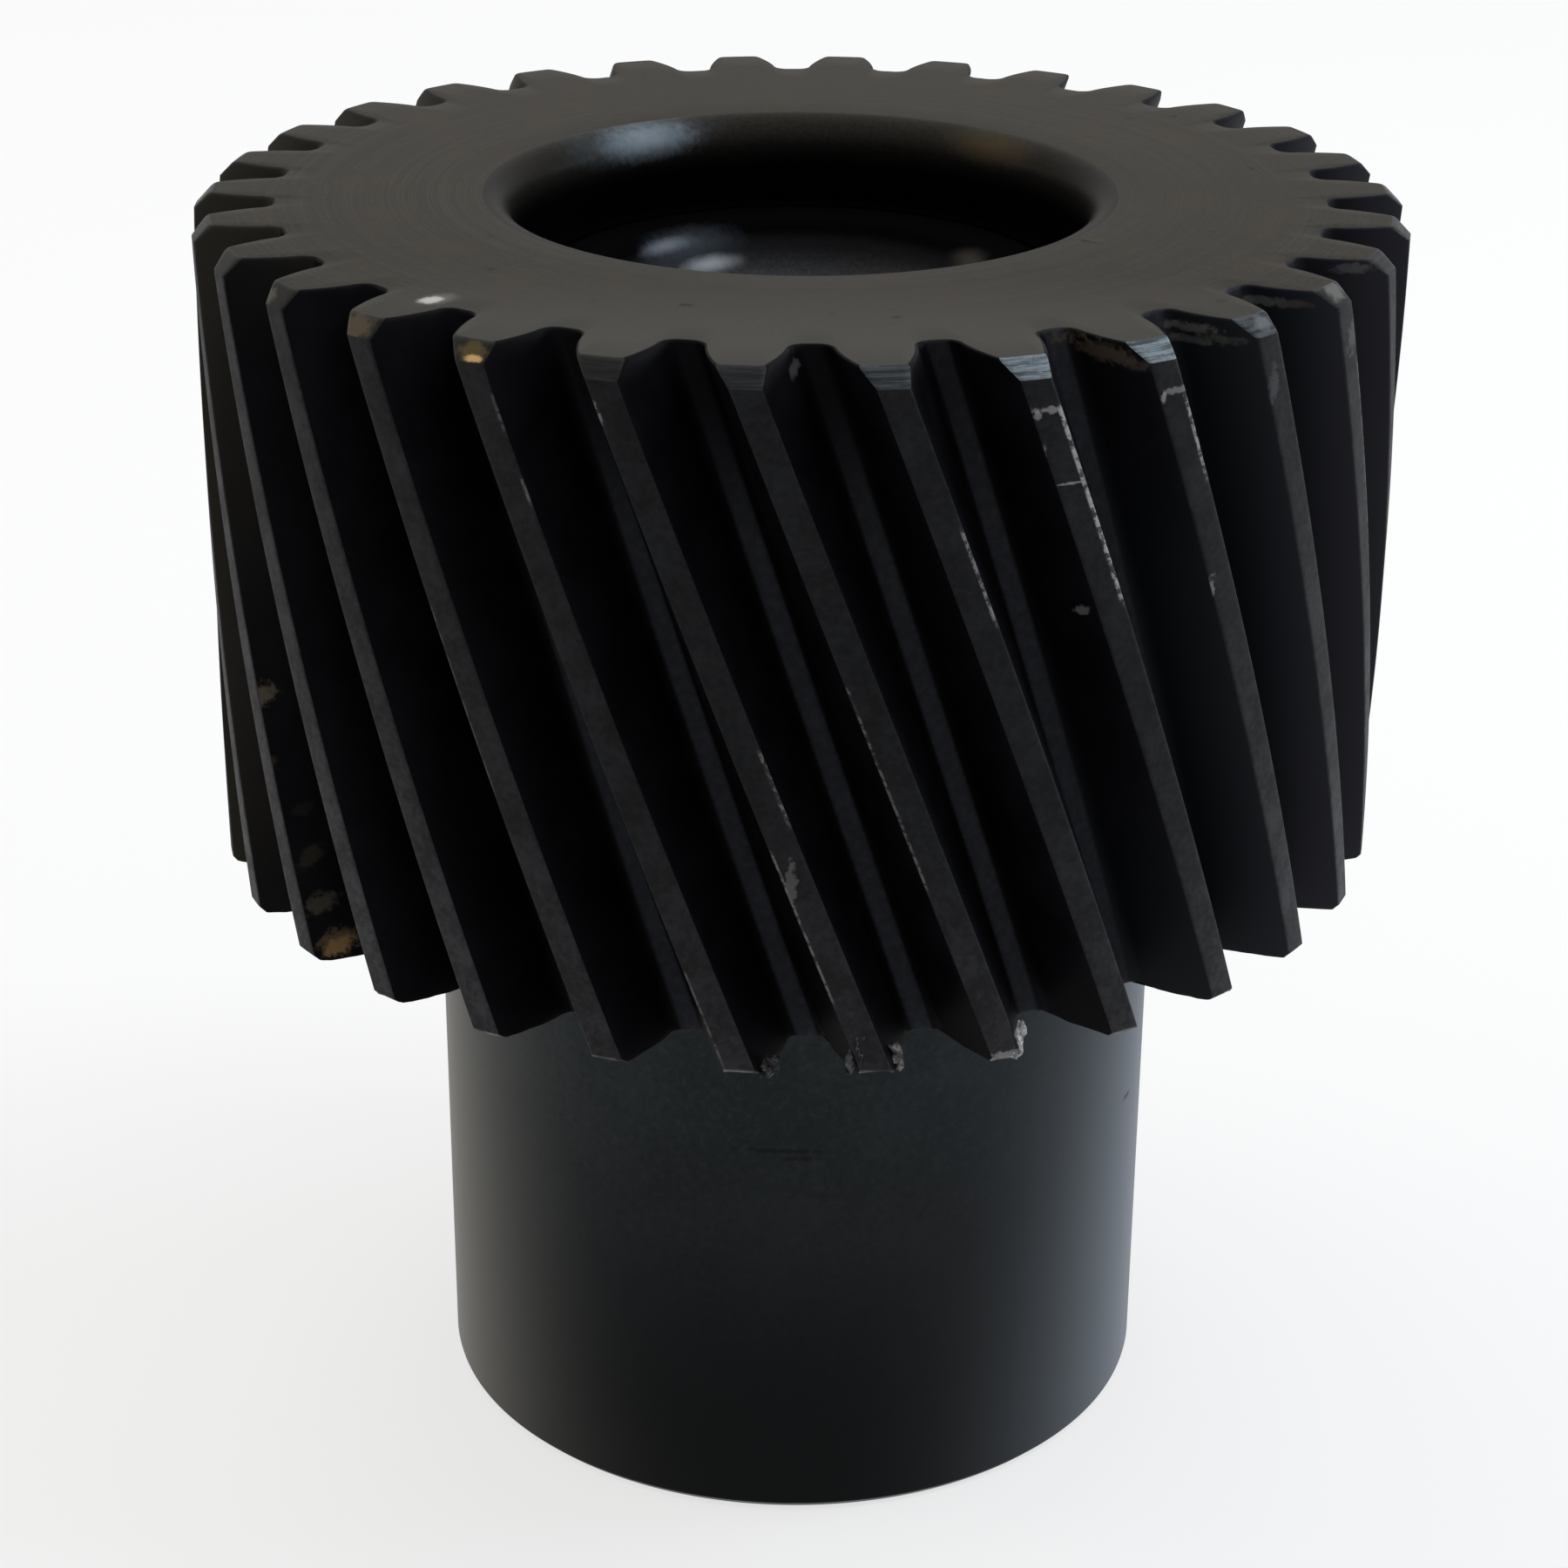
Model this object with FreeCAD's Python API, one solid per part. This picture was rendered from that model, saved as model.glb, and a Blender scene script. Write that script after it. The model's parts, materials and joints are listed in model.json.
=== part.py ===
import FreeCAD, Part
import math
import os

# A left-hand helical gear with a long plain hub. It stands on the end of its hub, teeth up.
# It is made of two turned pieces: a toothed ring, and a hub whose spigot is pressed up into
# the ring's bore. The spigot ends flush with the floor of a round recess in the toothed face,
# where the washer and screw go that hold the gear on its shaft.
# Lengths are in millimetres and angles in degrees. The origin is the centre of the hub's end
# face, +Z runs along the axis towards the toothed face, and -Y is the front.

# Teeth: a standard involute rack, cut along a left-hand helix
normal_module = 2.0
tooth_count = 30
helix_angle = 19.5283
pressure_angle = 20.0
addendum_in_modules = 1.0
dedendum_in_modules = 1.25
flank_start_height = 0.65
face_width = 38.0
upper_tooth_chamfer = 0.9
lower_tooth_chamfer = 0.3
first_tooth_turn = -4.9

# Seat that the ring and the hub share, and the wider recess above it in the toothed face
seat_diameter = 30.0
recess_step = 1.15
recess_depth = 5.0
recess_lip_radius = 1.6
spigot_lead_chamfer = 0.5
shoulder_fillet_radius = 0.4
shoulder_corner_clearance = 0.2

# Hub and the bore for the shaft
hub_diameter = 43.0
hub_length = 36.0
hub_end_chamfer = 0.5
shaft_bore_diameter = 22.0
bore_upper_edge_radius = 1.5
bore_lower_chamfer = 1.0

# How far the blank and the tooth sweep run past each other while the teeth are cut
cutting_overrun = 1.0
flank_points = 7

# Worked out from the sizes above
seat_radius = seat_diameter / 2
recess_radius = seat_radius + recess_step
hub_radius = hub_diameter / 2
bore_radius = shaft_bore_diameter / 2
toothed_face_z = hub_length + face_width
recess_floor_z = toothed_face_z - recess_depth

transverse_module = normal_module / math.cos(math.radians(helix_angle))
pitch_radius = transverse_module * tooth_count / 2
tip_radius = pitch_radius + addendum_in_modules * normal_module
root_radius = pitch_radius - dedendum_in_modules * normal_module
flank_start_radius = root_radius + flank_start_height
transverse_pressure_angle = math.atan(
    math.tan(math.radians(pressure_angle)) / math.cos(math.radians(helix_angle))
)
base_radius = pitch_radius * math.cos(transverse_pressure_angle)
helix_pitch = 2 * math.pi * pitch_radius / math.tan(math.radians(helix_angle))
tooth_pitch_angle = 2 * math.pi / tooth_count


def polar(radius, angle, z):
    """The point at this radius, angle in radians, and height."""
    return FreeCAD.Vector(radius * math.cos(angle), radius * math.sin(angle), z)


def half_tooth_angle(radius):
    """Half the angle that one tooth spans at this radius, in radians."""
    flank_angle = math.acos(min(1.0, base_radius / radius))
    involute = math.tan(flank_angle) - flank_angle
    involute_at_pitch = math.tan(transverse_pressure_angle) - transverse_pressure_angle
    return math.pi / (2 * tooth_count) + involute_at_pitch - involute


def root_fillet(centre, side, z):
    """The fillet at the foot of one flank: its end on the root circle, and its middle."""
    flank_angle = math.acos(min(1.0, base_radius / flank_start_radius))
    rise = flank_start_radius**2 - root_radius**2
    fillet_radius = rise / (2 * (root_radius - flank_start_radius * math.sin(flank_angle)))
    start_angle = centre + side * half_tooth_angle(flank_start_radius)
    radial = polar(1, start_angle, 0)
    around = polar(1, start_angle + math.pi / 2, 0) * side
    normal = around * math.cos(flank_angle) + radial * math.sin(flank_angle)
    fillet_centre = radial * flank_start_radius + normal * fillet_radius
    outward = FreeCAD.Vector(fillet_centre).normalize()
    middle = fillet_centre - (normal + outward).normalize() * fillet_radius
    lift = FreeCAD.Vector(0, 0, z)
    return outward * root_radius + lift, middle + lift


def flank_edge(centre, side, z):
    """One involute flank of the tooth at this angle, from its root fillet to its tip."""
    span = tip_radius - flank_start_radius
    radii = [flank_start_radius + span * i / (flank_points - 1) for i in range(flank_points)]
    curve = Part.BSplineCurve()
    curve.interpolate([polar(r, centre + side * half_tooth_angle(r), z) for r in radii])
    return curve.toShape()


def tooth_edges(centre, z):
    """The outline of one tooth and of the root land that follows it."""
    edges = []
    tip_half_angle = half_tooth_angle(tip_radius)
    tip_corners = [polar(tip_radius, centre + side * tip_half_angle, z) for side in (-1, 1)]
    tip_middle = polar(tip_radius, centre, z)
    edges.append(Part.Arc(tip_corners[0], tip_middle, tip_corners[1]).toShape())
    for side in (-1, 1):
        start_angle = centre + side * half_tooth_angle(flank_start_radius)
        flank_foot = polar(flank_start_radius, start_angle, z)
        root_end, fillet_middle = root_fillet(centre, side, z)
        edges.append(flank_edge(centre, side, z))
        edges.append(Part.Arc(flank_foot, fillet_middle, root_end).toShape())
    gap_middle = polar(root_radius, centre + tooth_pitch_angle / 2, z)
    land_start = root_fillet(centre, 1, z)[0]
    land_end = root_fillet(centre + tooth_pitch_angle, -1, z)[0]
    edges.append(Part.Arc(land_start, gap_middle, land_end).toShape())
    return edges


def tooth_sweep(low_z, high_z):
    """All the teeth as one twisted solid between two heights."""
    turn_per_length = 2 * math.pi / helix_pitch
    front = math.radians(first_tooth_turn - 90)
    first_centre = front + turn_per_length * (toothed_face_z - low_z)
    edges = []
    for tooth in range(tooth_count):
        edges += tooth_edges(first_centre + tooth * tooth_pitch_angle, low_z)
    outline = Part.Wire(Part.__sortEdges__(edges))
    path = Part.makeHelix(helix_pitch, high_z - low_z, pitch_radius, 0, True)
    path.translate(FreeCAD.Vector(0, 0, low_z))
    sweep = Part.BRepOffsetAPI.MakePipeShell(Part.Wire(path.Edges))
    sweep.setFrenetMode(True)
    sweep.add(outline)
    sweep.build()
    sweep.makeSolid()
    return sweep.shape()


def turned(outline_edges):
    """The solid that a closed outline in the XZ plane makes when it turns about the axis."""
    face = Part.Face(Part.Wire(outline_edges))
    return face.revolve(FreeCAD.Vector(0, 0, 0), FreeCAD.Vector(0, 0, 1), 360)


def line(start, end):
    """A straight edge between two (radius, height) points of a turned outline."""
    points = [FreeCAD.Vector(p[0], 0, p[1]) for p in (start, end)]
    return Part.LineSegment(points[0], points[1]).toShape()


def quarter_round(start, end, centre):
    """A quarter circle about its centre, between two (radius, height) points of an outline."""
    radius = math.hypot(start[0] - centre[0], start[1] - centre[1])
    half_way = (start[0] + end[0] - 2 * centre[0], start[1] + end[1] - 2 * centre[1])
    scale = radius / math.hypot(half_way[0], half_way[1])
    middle = (centre[0] + half_way[0] * scale, centre[1] + half_way[1] * scale)
    points = [FreeCAD.Vector(p[0], 0, p[1]) for p in (start, middle, end)]
    return Part.Arc(points[0], points[1], points[2]).toShape()


def ring_blank():
    """The ring as turned, before its teeth are cut: oversize outside, finished in its bore."""
    corner = shoulder_fillet_radius + shoulder_corner_clearance
    low = hub_length
    high = toothed_face_z
    outer = tip_radius + cutting_overrun
    low_edge = tip_radius - lower_tooth_chamfer
    high_edge = tip_radius - upper_tooth_chamfer
    low_chamfer_end = low + lower_tooth_chamfer + cutting_overrun
    high_chamfer_start = high - upper_tooth_chamfer - cutting_overrun
    lip_outer = recess_radius + recess_lip_radius
    lip_bottom = high - recess_lip_radius
    return turned([
        line((seat_radius + corner, low), (low_edge, low)),
        line((low_edge, low), (outer, low_chamfer_end)),
        line((outer, low_chamfer_end), (outer, high_chamfer_start)),
        line((outer, high_chamfer_start), (high_edge, high)),
        line((high_edge, high), (lip_outer, high)),
        quarter_round((lip_outer, high), (recess_radius, lip_bottom), (lip_outer, lip_bottom)),
        line((recess_radius, lip_bottom), (recess_radius, recess_floor_z)),
        line((recess_radius, recess_floor_z), (seat_radius, recess_floor_z)),
        line((seat_radius, recess_floor_z), (seat_radius, low + corner)),
        line((seat_radius, low + corner), (seat_radius + corner, low)),
    ])


def toothed_ring():
    """The ring with its helical teeth."""
    sweep = tooth_sweep(hub_length - cutting_overrun, toothed_face_z + cutting_overrun)
    return sweep.common(ring_blank())


def hub():
    """The hub: plain barrel, shoulder under the ring, spigot in the ring's bore, shaft bore."""
    fillet = shoulder_fillet_radius
    edge = bore_upper_edge_radius
    spigot_edge = seat_radius - spigot_lead_chamfer
    lead_start_z = recess_floor_z - spigot_lead_chamfer
    return turned([
        line((bore_radius + bore_lower_chamfer, 0), (hub_radius - hub_end_chamfer, 0)),
        line((hub_radius - hub_end_chamfer, 0), (hub_radius, hub_end_chamfer)),
        line((hub_radius, hub_end_chamfer), (hub_radius, hub_length)),
        line((hub_radius, hub_length), (seat_radius + fillet, hub_length)),
        quarter_round(
            (seat_radius + fillet, hub_length),
            (seat_radius, hub_length + fillet),
            (seat_radius + fillet, hub_length + fillet),
        ),
        line((seat_radius, hub_length + fillet), (seat_radius, lead_start_z)),
        line((seat_radius, lead_start_z), (spigot_edge, recess_floor_z)),
        line((spigot_edge, recess_floor_z), (bore_radius + edge, recess_floor_z)),
        quarter_round(
            (bore_radius + edge, recess_floor_z),
            (bore_radius, recess_floor_z - edge),
            (bore_radius + edge, recess_floor_z - edge),
        ),
        line((bore_radius, recess_floor_z - edge), (bore_radius, bore_lower_chamfer)),
        line((bore_radius, bore_lower_chamfer), (bore_radius + bore_lower_chamfer, 0)),
    ])


def write_piece(name, shape):
    """Writes one piece, and stops if it isn't one sound solid."""
    solids = shape.Solids
    if len(solids) != 1 or not solids[0].isValid():
        raise ValueError(name + " is not one sound solid")
    solids[0].exportStep("parts/" + name + ".step")
    print(name, "volume", round(solids[0].Volume, 1), "mm3")


os.makedirs("parts", exist_ok=True)
write_piece("toothed_ring", toothed_ring())
write_piece("hub", hub())
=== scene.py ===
import json
import math

import bpy
import numpy as np
from mathutils import Matrix, Vector


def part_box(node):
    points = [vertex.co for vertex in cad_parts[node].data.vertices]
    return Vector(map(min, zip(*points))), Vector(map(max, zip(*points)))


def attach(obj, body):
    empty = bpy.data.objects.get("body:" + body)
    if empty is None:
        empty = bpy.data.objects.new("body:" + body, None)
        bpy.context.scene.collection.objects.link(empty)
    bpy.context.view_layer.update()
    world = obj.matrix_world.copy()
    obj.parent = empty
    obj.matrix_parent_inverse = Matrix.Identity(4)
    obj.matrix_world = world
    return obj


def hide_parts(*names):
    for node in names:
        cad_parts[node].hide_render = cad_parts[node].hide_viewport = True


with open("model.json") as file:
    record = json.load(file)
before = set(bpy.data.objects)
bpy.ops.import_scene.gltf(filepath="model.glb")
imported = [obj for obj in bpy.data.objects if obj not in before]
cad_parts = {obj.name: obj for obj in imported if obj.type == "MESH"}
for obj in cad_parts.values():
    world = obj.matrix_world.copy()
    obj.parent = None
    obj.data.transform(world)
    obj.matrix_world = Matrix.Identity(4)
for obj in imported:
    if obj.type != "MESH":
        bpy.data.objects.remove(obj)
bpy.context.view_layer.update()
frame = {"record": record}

# The gear stands on its hub, teeth up: +Z is its axis and -Y the front. Lengths are in metres.
MM = 0.001

# ---------------------------------------------------------------- sizes

# From the frame
RING_LOW, RING_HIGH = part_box("toothed_ring")
HUB_LOW, HUB_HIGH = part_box("hub")
MOUNTS = {mount["name"]: mount for mount in frame["record"]["mounts"]}

TOP_Z = RING_HIGH.z
RING_BOTTOM_Z = RING_LOW.z
FLOOR_Z = HUB_LOW.z
SPIGOT_TOP_Z = HUB_HIGH.z
HUB_RADIUS = MOUNTS["hub_outside"]["dims"]["r_mm"] * MM
BORE_RADIUS = MOUNTS["shaft_bore"]["dims"]["r_mm"] * MM
RECESS_RADIUS = MOUNTS["washer_recess"]["dims"]["r_mm"] * MM

# From the part's source: the pieces' edges and the tooth system
SEAT_RADIUS = 15.0 * MM
RECESS_LIP = 1.6 * MM
BORE_EDGE = 1.5 * MM
SPIGOT_CHAMFER = 0.5 * MM
HUB_END_CHAMFER = 0.5 * MM
BORE_END_CHAMFER = 1.0 * MM
UPPER_TOOTH_CHAMFER = 0.9 * MM
LOWER_TOOTH_CHAMFER = 0.3 * MM

TOOTH_COUNT = 30
NORMAL_MODULE = 2.0 * MM
HELIX_ANGLE = math.radians(19.5283)
PRESSURE_ANGLE = math.radians(20.0)
FIRST_TOOTH_TURN = math.radians(-4.9)
FLANK_START_HEIGHT = 0.65 * MM

PITCH_RADIUS = NORMAL_MODULE / math.cos(HELIX_ANGLE) * TOOTH_COUNT / 2
TIP_RADIUS = PITCH_RADIUS + NORMAL_MODULE
ROOT_RADIUS = PITCH_RADIUS - 1.25 * NORMAL_MODULE
FLANK_START_RADIUS = ROOT_RADIUS + FLANK_START_HEIGHT
TRANSVERSE_ANGLE = math.atan(math.tan(PRESSURE_ANGLE) / math.cos(HELIX_ANGLE))
BASE_RADIUS = PITCH_RADIUS * math.cos(TRANSVERSE_ANGLE)
TURN_PER_METRE = math.tan(HELIX_ANGLE) / PITCH_RADIUS
TOOTH_PITCH = 2 * math.pi / TOOTH_COUNT
QUARTER_TURN = math.pi / 2
FRONT = -QUARTER_TURN

# Small roundings that every real edge has
TIP_EDGE = 0.11 * MM
TOP_TIP_EDGE = 0.34 * MM
FACE_EDGE = 0.09 * MM
TOP_FACE_EDGE = 0.16 * MM
HUB_EDGE = 0.12 * MM

# Half a tooth's outline, from the middle of the gap to the middle of the tip, in steps
ROOT_STEPS = 2
FILLET_STEPS = 5
FLANK_STEPS = 9
CORNER_STEPS = 3
LAND_STEPS = 3

# The ring's section in steps: a rounding, the teeth, their chamfer, the face, the lip, a wall
ROUND_STEPS = 3
SWEEP_STEPS = 42
CHAMFER_STEPS = 3
FACE_STEPS = 5
LIP_STEPS = 8
WALL_STEPS = 3

HUB_POINTS = 360
BORE_EDGE_STEPS = 8
SHARP_ANGLE = math.radians(32)

# The teeth's lower rim waves by this depth: each wave's share, waves per turn and start
RAGGED_DEPTH = 0.07 * MM
RAGGED_WAVES = ((0.5, 83, 1.3), (0.3, 211, 0.7), (0.2, 431, 0.0))

# A burr's mesh, and its thickness in mm
BURR_COLUMNS = 5
BURR_ROWS = 7
BURR_THICKNESS = 0.14

FLOOR_HALF = 6.0
FLOOR_GREY = 0.9
FLOOR_GLOW = 0.68
AMBIENT = 0.5


def half_tooth_angle(radius):
    """Half the angle that one tooth spans at this radius."""
    flank_angle = math.acos(min(1.0, BASE_RADIUS / radius))
    involute = math.tan(flank_angle) - flank_angle
    involute_at_pitch = math.tan(TRANSVERSE_ANGLE) - TRANSVERSE_ANGLE
    return math.pi / (2 * TOOTH_COUNT) + involute_at_pitch - involute


LAND_HALF = half_tooth_angle(TIP_RADIUS) * TIP_RADIUS


# ---------------------------------------------------------------- camera

def make_camera():
    """The camera stands in front of the gear and a little above its toothed face."""
    distance = 5.7630 * TIP_RADIUS
    above_face = 1.5210 * TIP_RADIUS
    yaw = math.radians(-0.215)
    pitch = math.radians(24.319)
    roll = math.radians(0.323)
    level_share = math.cos(pitch)
    forward = Vector((math.sin(yaw) * level_share, math.cos(yaw) * level_share, -math.sin(pitch)))
    level = Vector((math.cos(yaw), -math.sin(yaw), 0))
    upward = level.cross(forward)
    right = math.cos(roll) * level + math.sin(roll) * upward
    up = math.cos(roll) * upward - math.sin(roll) * level
    data = bpy.data.cameras.new("camera")
    data.sensor_width = 36.0
    data.lens = 81.52
    data.clip_start = 0.01
    data.clip_end = 20.0
    camera = bpy.data.objects.new("camera", data)
    axes = Matrix((right, up, -forward)).transposed()
    place = Matrix.Translation((0, -distance, TOP_Z + above_face))
    camera.matrix_world = place @ axes.to_4x4()
    bpy.context.scene.collection.objects.link(camera)
    bpy.context.scene.camera = camera


make_camera()


# ---------------------------------------------------------------- node helpers

class Shade:
    """A small helper for building one material's nodes."""

    def __init__(self, name):
        self.material = bpy.data.materials.new(name)
        self.material.use_nodes = True
        self.tree = self.material.node_tree
        self.tree.nodes.clear()
        self.output = self.tree.nodes.new("ShaderNodeOutputMaterial")
        self.place = self.tree.nodes.new("ShaderNodeTexCoord").outputs["Object"]

    def link(self, source, socket):
        self.tree.links.new(source, socket)

    def put(self, socket, value):
        if isinstance(value, bpy.types.NodeSocket):
            self.link(value, socket)
        else:
            socket.default_value = value

    def math(self, operation, a, b=0.0, c=0.0, clamp=False):
        node = self.tree.nodes.new("ShaderNodeMath")
        node.operation = operation
        node.use_clamp = clamp
        for socket, value in zip(node.inputs, (a, b, c)):
            self.put(socket, value)
        return node.outputs[0]

    def total(self, a, share_a, b, share_b):
        """a and b, each times its share, added."""
        first, second = self.math("MULTIPLY", a, share_a), self.math("MULTIPLY", b, share_b)
        return self.math("ADD", first, second)

    def length(self, vector):
        node = self.tree.nodes.new("ShaderNodeVectorMath")
        node.operation = "LENGTH"
        self.link(vector, node.inputs[0])
        return node.outputs["Value"]

    def axes(self):
        """x, y and z of the point being shaded, in metres."""
        node = self.tree.nodes.new("ShaderNodeSeparateXYZ")
        self.link(self.place, node.inputs[0])
        return node.outputs[0], node.outputs[1], node.outputs[2]

    def combine(self, x, y, z):
        node = self.tree.nodes.new("ShaderNodeCombineXYZ")
        for socket, value in zip(node.inputs, (x, y, z)):
            self.put(socket, value)
        return node.outputs[0]

    def radius(self):
        """How far the point is from the gear's axis, in metres."""
        x, y, _ = self.axes()
        return self.math("SQRT", self.total(x, x, y, y))

    def angle(self):
        """The angle round the gear's axis, in radians."""
        x, y, _ = self.axes()
        return self.math("ARCTAN2", y, x)

    def facing(self):
        """0 where the surface is seen straight on, 1 where it is seen edge on."""
        node = self.tree.nodes.new("ShaderNodeLayerWeight")
        node.inputs["Blend"].default_value = 0.5
        return node.outputs["Facing"]

    def noise(self, place, scale, detail, roughness):
        """Noise from 0 to 1, with about scale bumps to the metre."""
        node = self.tree.nodes.new("ShaderNodeTexNoise")
        self.link(place, node.inputs["Vector"])
        node.inputs["Scale"].default_value = scale
        node.inputs["Detail"].default_value = detail
        node.inputs["Roughness"].default_value = roughness
        return node.outputs["Fac"]

    def ramp(self, value, low, high, start=0.0, end=1.0):
        """value, taken smoothly from start at low to end at high."""
        node = self.tree.nodes.new("ShaderNodeMapRange")
        node.interpolation_type = "SMOOTHSTEP"
        self.put(node.inputs["Value"], value)
        node.inputs["From Min"].default_value = low
        node.inputs["From Max"].default_value = high
        node.inputs["To Min"].default_value = start
        node.inputs["To Max"].default_value = end
        return node.outputs["Result"]

    def mix(self, share, a, b):
        """Colour a where share is 0, colour b where it is 1."""
        node = self.tree.nodes.new("ShaderNodeMix")
        node.data_type = "RGBA"
        self.put(node.inputs["Factor"], share)
        self.put(node.inputs["A"], (*a, 1.0) if isinstance(a, tuple) else a)
        self.put(node.inputs["B"], (*b, 1.0) if isinstance(b, tuple) else b)
        return node.outputs["Result"]

    def tooth_place(self):
        """The number of the nearest tooth and the place across it.

        Tooth 0 is at the front, and the numbers rise to the right."""
        _, _, z = self.axes()
        twist = self.math("MULTIPLY", self.math("SUBTRACT", TOP_Z, z), TURN_PER_METRE)
        from_first = self.math("SUBTRACT", self.angle(), FRONT + FIRST_TOOTH_TURN)
        share = self.math("DIVIDE", self.math("SUBTRACT", from_first, twist), TOOTH_PITCH)
        number = self.math("ROUND", share)
        off_middle = self.math("SUBTRACT", share, number)
        across = self.math("MULTIPLY", off_middle, TOOTH_PITCH * TIP_RADIUS)
        return self.math("WRAP", number, TOOTH_COUNT - 0.5, -0.5), across

    def is_tooth(self, number, tooth):
        """1 on this tooth, 0 on the others."""
        return self.math("COMPARE", number, float(tooth), 0.5)

    def spots(self, color, rows, flat=False, raggedness=2.6, core=0.45):
        """Small marks and painted highlights, each of which fades from its core outwards.

        A row says azimuth from the front in degrees, height, radius, half sizes across and up,
        colour and share. On a level surface, flat, the size up is along the radius instead."""
        noise = self.noise(self.place, 2400.0, 4.0, 0.65)
        ragged = self.math("MULTIPLY", self.math("SUBTRACT", noise, 0.5), raggedness)
        for azimuth, height, radius, across, up, mark, share in rows:
            turn = FRONT + math.radians(azimuth)
            depth = SPOT_DEPTH
            node = self.tree.nodes.new("ShaderNodeMapping")
            node.vector_type = "TEXTURE"
            self.link(self.place, node.inputs["Vector"])
            node.inputs["Location"].default_value = (
                radius * MM * math.cos(turn), radius * MM * math.sin(turn), height * MM)
            node.inputs["Rotation"].default_value = (0.0, 0.0, turn)
            node.inputs["Scale"].default_value = (
                (up * MM, across * MM, depth) if flat else (depth, across * MM, up * MM))
            away = self.math("ADD", self.length(node.outputs[0]), ragged)
            color = self.mix(self.ramp(away, core, 1.0, share, 0.0), color, mark)
        return color

    def rubbed_edges(self, color):
        """Bright rubbed lines along the edges of the lands."""
        _, _, z = self.axes()
        number, across = self.tooth_place()
        along = self.noise(self.combine(across, number, z), 2300.0, 3.0, 0.7)
        for tooth, side, top, bottom, width, share in RUBBED_EDGES:
            full = 0.4 * width * MM
            away = self.math("SUBTRACT", across, side * (LAND_HALF - full))
            line = self.ramp(self.math("ABSOLUTE", away), full, width * MM, 1.0, 0.0)
            above = self.ramp(z, bottom * MM, (bottom + 1.0) * MM)
            below = self.ramp(z, (top - 0.4) * MM, top * MM, 1.0, 0.0)
            worn = self.math("MULTIPLY", self.is_tooth(number, tooth), line)
            worn = self.math("MULTIPLY", worn, self.math("MULTIPLY", above, below))
            worn = self.math("MULTIPLY", worn, self.ramp(along, 0.42, 0.56, share * 0.1, share))
            color = self.mix(worn, color, WORN_AND_GLINT)
        return color

    def bump(self, height, distance, strength):
        node = self.tree.nodes.new("ShaderNodeBump")
        node.inputs["Distance"].default_value = distance
        node.inputs["Strength"].default_value = strength
        self.link(height, node.inputs["Height"])
        return node.outputs["Normal"]

    def finish(self, color, roughness, normal, ior):
        """The material with its one shader joined to its output."""
        node = self.tree.nodes.new("ShaderNodeBsdfPrincipled")
        self.link(color, node.inputs["Base Color"])
        self.put(node.inputs["Roughness"], roughness)
        node.inputs["IOR"].default_value = ior
        self.link(normal, node.inputs["Normal"])
        self.link(node.outputs[0], self.output.inputs["Surface"])
        return self.material


# ---------------------------------------------------------------- materials

WHITE = (1.0, 1.0, 1.0)
# Worn bright steel, also used as a painted glint on the lands' lower edge
WORN_AND_GLINT = (0.26, 0.25, 0.25)
# Bluish bare steel on the chamfers: partly worn blacking, partly a painted reflection
BARE_CHAMFER_AND_REFLECTION = (0.215, 0.265, 0.295)
RUST = (0.060, 0.028, 0.010)
EARTH = (0.040, 0.032, 0.021)
SPECK = (0.006, 0.006, 0.005)
SCRATCH = (0.004, 0.003, 0.003)
BLUE_BLACK = (0.002, 0.003, 0.003)
PALE_GREY = (0.080, 0.080, 0.080)

# How far a mark reaches into the surface and out of it
SPOT_DEPTH = 2.5 * MM
# Azimuth of the side where the flanks are painted black as shade, being turned away from the lamps
SHADED_FLANK_SIDE = math.radians(-15.0)

# Tooth, side (-1 left, 1 right), top and bottom height and width of the rubbed line in mm, share
RUBBED_EDGES = [
    (2, 1, 71.8, 60.5, 0.22, 1.0),
    (3, 1, 71.6, 66.0, 0.20, 0.8),
    (1, 1, 66.0, 60.3, 0.16, 0.6),
    (0, -1, 58.0, 46.0, 0.12, 0.3),
    (29, -1, 72.2, 70.4, 0.15, 0.5),
    (29, 1, 54.5, 50.0, 0.16, 0.45),
    (29, -1, 49.0, 39.8, 0.12, 0.42),
    (28, 1, 71.8, 69.4, 0.14, 0.22),
    (28, 1, 67.8, 65.8, 0.13, 0.35),
    (28, -1, 42.0, 36.0, 0.12, 0.25),
    (27, -1, 60.0, 50.0, 0.12, 0.15),
    (5, 1, 70.0, 58.0, 0.14, 0.35),
    (9, 1, 66.0, 50.0, 0.14, 0.4),
    (14, -1, 70.0, 52.0, 0.15, 0.5),
    (18, 1, 72.0, 60.0, 0.16, 0.5),
    (22, -1, 64.0, 46.0, 0.14, 0.4),
]
# Tooth, and how far the blacking has gone from its upper chamfer: worn blacking, and on teeth 2 and
# 3 mostly a painted reflection of the key light
WORN_AND_REFLECTING_CHAMFERS = [(1, 0.12), (2, 0.85), (3, 0.85), (4, 0.20), (13, 0.4), (21, 0.3)]

# Azimuth in degrees from the front, height, radius, half size across and up in mm, colour, share
FACE_SPOTS = [
    (-42.8, 74.0, 32.2, 0.9, 0.8, (0.055, 0.038, 0.028), 0.7),
    (-14.0, 74.0, 23.6, 0.35, 0.30, SPECK, 0.8),
    (11.0, 74.0, 25.2, 0.30, 0.25, SPECK, 0.8),
    (130.0, 74.0, 26.0, 0.30, 0.30, SPECK, 0.8),
    (55.2, 74.0, 18.6, 0.16, 1.1, SCRATCH, 0.9),
    (56.6, 74.0, 18.8, 0.30, 0.7, (0.055, 0.030, 0.028), 0.6),
]
FACE_GLINT = [
    (-39.5, 74.0, 28.7, 1.05, 1.55, (0.105, 0.100, 0.092), 0.8),
    (-39.7, 74.0, 29.0, 0.66, 0.95, (0.44, 0.43, 0.41), 1.0),
]
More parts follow.
